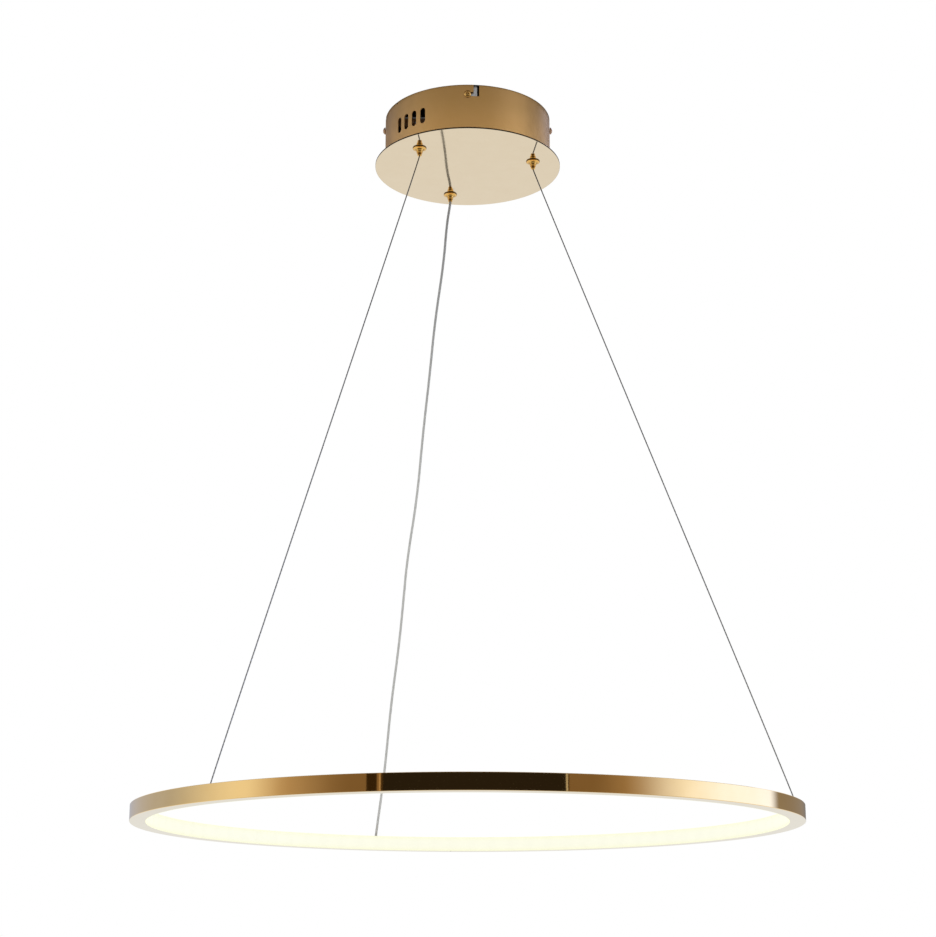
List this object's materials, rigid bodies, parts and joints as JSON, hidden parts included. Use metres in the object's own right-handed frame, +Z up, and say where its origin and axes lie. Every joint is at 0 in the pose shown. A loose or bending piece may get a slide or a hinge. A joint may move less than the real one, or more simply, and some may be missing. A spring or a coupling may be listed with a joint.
{
  "type": "led ring chandelier",
  "caption": "Pendant ceiling light: a lit gold ring hung level by two steel cables and a clear power cord from a round gold canopy.",
  "frame": {"origin": "on the ceiling plane, at the middle of the ceiling bracket's fixing holes", "axes": "+Z up, -Y towards the front screw and the viewer, +X to the viewer's right"},
  "size_m": [0.6, 0.6, 0.692],
  "materials": {
    "polished_gold_steel": "mirror-polished gold plating",
    "polished_gold_aluminium": "polished gold anodising",
    "gold_brass": "polished, lacquered",
    "zinc_steel": "zinc plated",
    "cable_steel": "bright stranded wire",
    "clear_cord": "clear flexible jacket over tinned cores",
    "opal_diffuser": "satin opal, lit warm white from behind",
    "circuit_board": "white solder resist",
    "led_phosphor": "clear resin over yellow phosphor",
    "white_plastic": "moulded",
    "copper_winding": "taped winding",
    "black_can": "sleeved aluminium can",
    "black_rubber": "moulded",
    "bearing_steel": "polished",
    "spring_steel": "drawn wire",
    "core_copper": "insulated copper cores"
  },
  "bodies": {
    "bracket": {"ceiling_bracket": "zinc_steel", "bracket_nuts": "zinc_steel", "entry_grommet": "black_rubber", "earth_screw": "zinc_steel"},
    "canopy": {"canopy_drum": "polished_gold_steel", "canopy_plate": "polished_gold_steel", "gripper_left_body": "gold_brass", "gripper_right_body": "gold_brass", "gripper_cord_body": "gold_brass", "gripper_nuts": "zinc_steel", "gripper_caps": "gold_brass", "gripper_left_spring": "spring_steel", "gripper_right_spring": "spring_steel", "gripper_cord_spring": "spring_steel", "driver_case": "white_plastic", "driver_lid": "white_plastic", "driver_board": "circuit_board", "driver_transformer": "copper_winding", "driver_capacitors": "black_can", "canopy_studs": "zinc_steel", "stud_nuts": "zinc_steel", "terminal_block": "white_plastic", "terminal_screws": "zinc_steel", "mains_leads": "core_copper", "cord_lead": "clear_cord", "cable_left_tail": "cable_steel", "cable_right_tail": "cable_steel", "cable_left": "cable_steel", "cable_right": "cable_steel", "power_cord": "clear_cord"},
    "ring": {"ring_profile": "polished_gold_aluminium", "ring_diffuser": "opal_diffuser", "led_strip": "circuit_board", "led_chips": "led_phosphor", "cable_anchor_left": "gold_brass", "cable_anchor_right": "gold_brass", "cable_end_left": "cable_steel", "cable_end_right": "cable_steel", "cord_grommet": "black_rubber", "cord_clamp": "white_plastic", "strip_leads": "core_copper", "joint_plate": "zinc_steel", "joint_screws": "zinc_steel"},
    "front_screw": {"side_screw_front": "gold_brass"},
    "right_screw": {"side_screw_right": "gold_brass"},
    "back_screw": {"side_screw_back": "gold_brass"},
    "left_screw": {"side_screw_left": "gold_brass"},
    "left_plunger": {"gripper_left_plunger": "gold_brass", "gripper_left_balls": "bearing_steel"},
    "right_plunger": {"gripper_right_plunger": "gold_brass", "gripper_right_balls": "bearing_steel"},
    "cord_plunger": {"gripper_cord_plunger": "gold_brass", "gripper_cord_balls": "bearing_steel"}
  },
  "joints": [
    {"name": "canopy_twist", "type": "hinge", "parent": "bracket", "child": "canopy", "pos_m": [0, 0, 0], "axis": [0, 0, 1], "range_deg": [-5.9, 0]},
    {"name": "front_screw_loosen", "type": "slide", "parent": "bracket", "child": "front_screw", "axis": [0, -1, 0], "range_m": [0, 0.003]},
    {"name": "right_screw_loosen", "type": "slide", "parent": "bracket", "child": "right_screw", "axis": [1, 0, 0], "range_m": [0, 0.003]},
    {"name": "back_screw_loosen", "type": "slide", "parent": "bracket", "child": "back_screw", "axis": [0, 1, 0], "range_m": [0, 0.003]},
    {"name": "left_screw_loosen", "type": "slide", "parent": "bracket", "child": "left_screw", "axis": [-1, 0, 0], "range_m": [0, 0.003]},
    {"name": "left_gripper_release", "type": "slide", "parent": "canopy", "child": "left_plunger", "axis": [0, 0, 1], "range_m": [0, 0.0015], "stiffness_N_per_m": 60, "springref_m": -0.002, "deforming": ["gripper_left_spring"]},
    {"name": "right_gripper_release", "type": "slide", "parent": "canopy", "child": "right_plunger", "axis": [0, 0, 1], "range_m": [0, 0.0015], "stiffness_N_per_m": 60, "springref_m": -0.002, "deforming": ["gripper_right_spring"]},
    {"name": "cord_gripper_release", "type": "slide", "parent": "canopy", "child": "cord_plunger", "axis": [0, 0, 1], "range_m": [0, 0.0015], "stiffness_N_per_m": 60, "springref_m": -0.002, "deforming": ["gripper_cord_spring"]},
    {"name": "ring_height", "type": "slide", "parent": "canopy", "child": "ring", "axis": [0, 0, 1], "range_m": [0, 0.35], "deforming": ["cable_left", "cable_right", "power_cord"]}
  ]
}
